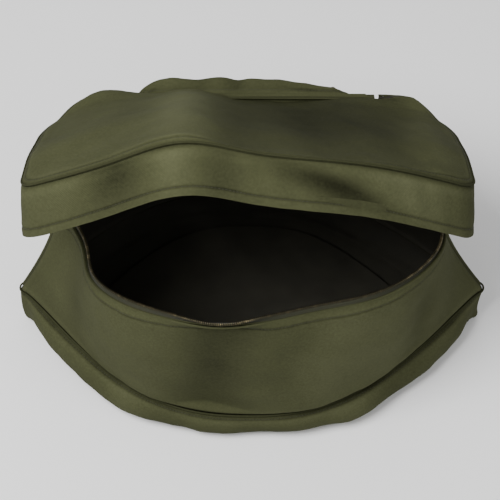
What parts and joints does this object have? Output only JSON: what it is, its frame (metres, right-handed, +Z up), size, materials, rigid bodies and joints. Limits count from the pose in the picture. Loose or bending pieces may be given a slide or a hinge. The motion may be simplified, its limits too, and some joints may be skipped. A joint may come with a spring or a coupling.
{
  "type": "canvas tool bag",
  "caption": "Wide boat-shaped canvas tool bag with a stiff base pan, a hinged boxed lid that zips to the rim, and a grab strap at the back.",
  "frame": {"origin": "middle of the flat bottom, at the centre of the bag's bounding box in plan", "axes": "+Z up, +Y from the front of the bag to its back, +X to the right of someone facing its front"},
  "size_m": [0.5104, 0.3109, 0.428],
  "materials": {
    "canvas": "heavy cotton canvas, olive drab, matt",
    "binding": "corded canvas binding, olive drab",
    "facing": "turned canvas hem, inside face",
    "lining": "plain canvas lining",
    "board": "stiff fibre board",
    "webbing": "doubled canvas strap, stitched",
    "zip_tape": "woven herringbone tape",
    "zip_teeth": "darkened brass teeth",
    "zip_metal": "antique brass",
    "rivet": "antique brass"
  },
  "bodies": {
    "body": {"base_panel": "canvas", "base_board": "board", "base_lining": "lining", "front_panel": "canvas", "back_panel": "canvas", "base_binding": "binding", "end_binding_left": "binding", "end_binding_right": "binding", "rim_facing": "facing", "zip_tape_body": "zip_tape", "zip_chain_body": "zip_teeth", "zip_stop_left": "zip_metal", "zip_stop_right": "zip_metal", "hinge_tape": "facing", "carry_handle": "webbing", "handle_patch_left": "canvas", "handle_patch_right": "canvas", "handle_rivet_left_1": "rivet", "handle_rivet_left_2": "rivet", "handle_rivet_right_1": "rivet", "handle_rivet_right_2": "rivet"},
    "lid": {"lid_top": "canvas", "lid_skirt": "canvas", "lid_hem": "facing", "lid_binding": "binding", "zip_tape_lid": "zip_tape", "zip_chain_lid": "zip_teeth"},
    "slider": {"zip_slider": "zip_metal", "zip_crown": "zip_metal"},
    "puller": {"zip_puller": "zip_metal"}
  },
  "joints": [
    {"name": "lid_hinge", "type": "hinge", "parent": "body", "child": "lid", "pos_m": [0, 0.117, 0.25], "axis": [-1, 0, 0], "range_deg": [-41, 50]},
    {"name": "zip_slide", "type": "slide", "parent": "body", "child": "slider", "axis": [0, -1, 0], "range_m": [0, 0.03]},
    {"name": "puller_swing", "type": "hinge", "parent": "slider", "child": "puller", "pos_m": [0.19094, 0.03627, 0.21457], "axis": [1, 0, 0], "range_deg": [0, 30]}
  ]
}
